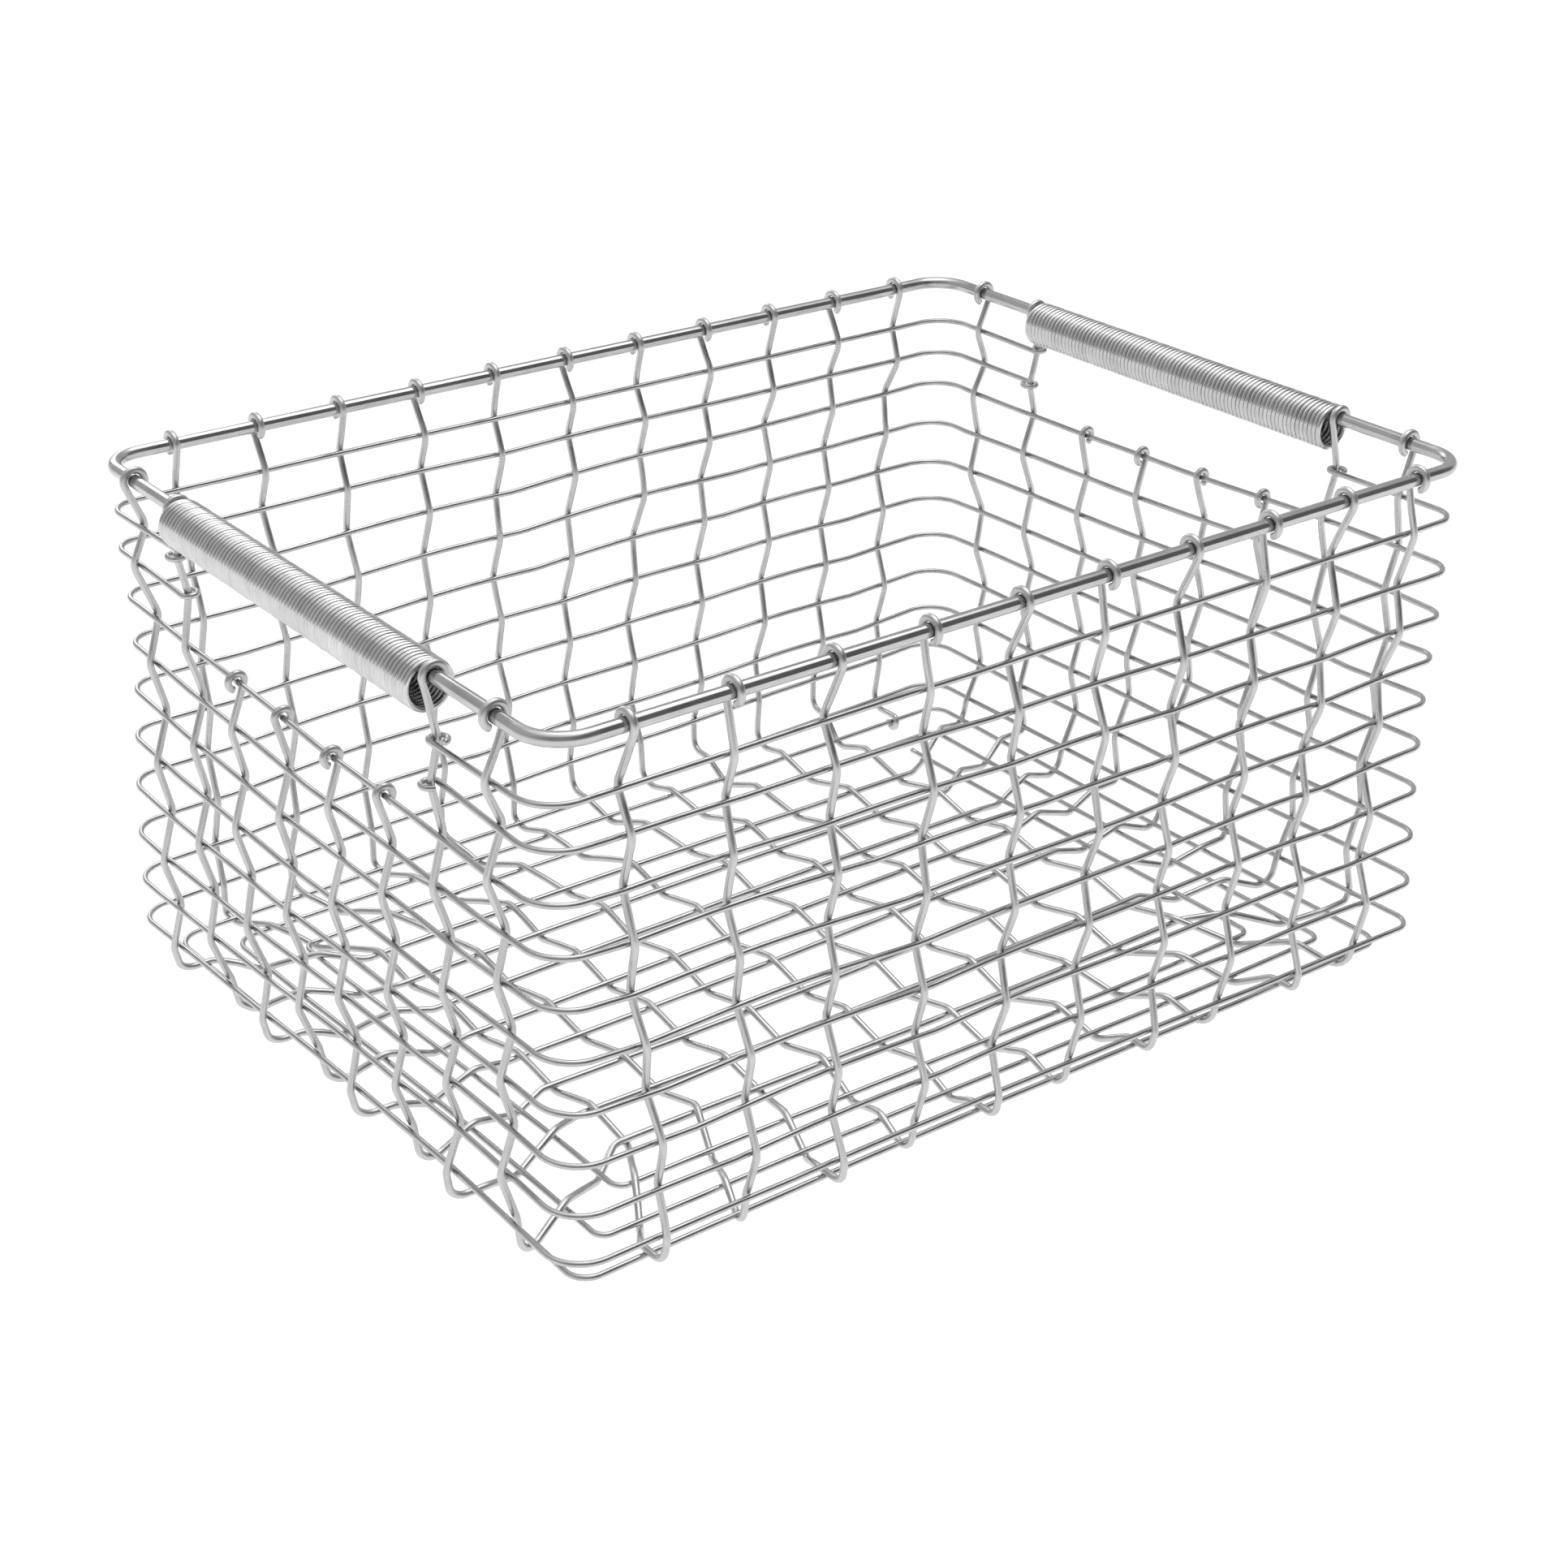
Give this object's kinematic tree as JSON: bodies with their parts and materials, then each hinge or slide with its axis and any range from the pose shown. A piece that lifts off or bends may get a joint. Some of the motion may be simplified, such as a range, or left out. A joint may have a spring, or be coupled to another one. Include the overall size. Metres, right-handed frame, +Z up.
{
  "type": "wire shopping basket",
  "caption": "Open-topped woven steel wire basket with a thick rim and loose close-wound coil-spring grips on both short sides.",
  "frame": {"origin": "middle of the base, on the surface that the basket stands on", "axes": "+X along the long sides, +Y along the short sides to the back, +Z up out of the open top"},
  "size_m": [0.502, 0.368, 0.2521],
  "materials": {
    "rim_steel": "bright drawn wire, lightly polished",
    "stake_steel": "bright drawn wire, slightly dull in the bends",
    "weft_steel": "bright drawn wire",
    "grip_spring_steel": "bright spring wire, close wound"
  },
  "bodies": {
    "basket": {"back_top_wire_lower": "weft_steel", "back_top_wire_upper": "weft_steel", "cross_stake_01": "stake_steel", "cross_stake_02": "stake_steel", "cross_stake_03": "stake_steel", "cross_stake_04": "stake_steel", "cross_stake_05": "stake_steel", "cross_stake_06": "stake_steel", "cross_stake_07": "stake_steel", "cross_stake_08": "stake_steel", "cross_stake_09": "stake_steel", "cross_stake_10": "stake_steel", "floor_ring_1": "weft_steel", "floor_ring_2": "weft_steel", "floor_ring_3": "weft_steel", "front_top_wire": "weft_steel", "half_stake": "stake_steel", "long_stake_1": "stake_steel", "long_stake_2": "stake_steel", "long_stake_3": "stake_steel", "long_stake_4": "stake_steel", "long_stake_5": "stake_steel", "long_stake_6": "stake_steel", "long_stake_7": "stake_steel", "long_stake_8": "stake_steel", "rim": "rim_steel", "weft_turn_1": "weft_steel", "weft_turn_2": "weft_steel", "weft_turn_3": "weft_steel", "weft_turn_4": "weft_steel", "weft_turn_5": "weft_steel", "weft_turn_6": "weft_steel", "weft_turn_7": "weft_steel", "weft_turn_8": "weft_steel", "weft_turn_9": "weft_steel"},
    "left_grip": {"left_grip_coil": "grip_spring_steel"},
    "right_grip": {"right_grip_coil": "grip_spring_steel"}
  },
  "joints": [
    {"name": "left_grip_turn", "type": "hinge", "parent": "basket", "child": "left_grip", "pos_m": [-0.24, 0, 0.24566], "axis": [0, 1, 0], "continuous": true},
    {"name": "right_grip_turn", "type": "hinge", "parent": "basket", "child": "right_grip", "pos_m": [0.24, 0, 0.24566], "axis": [0, 1, 0], "continuous": true}
  ]
}
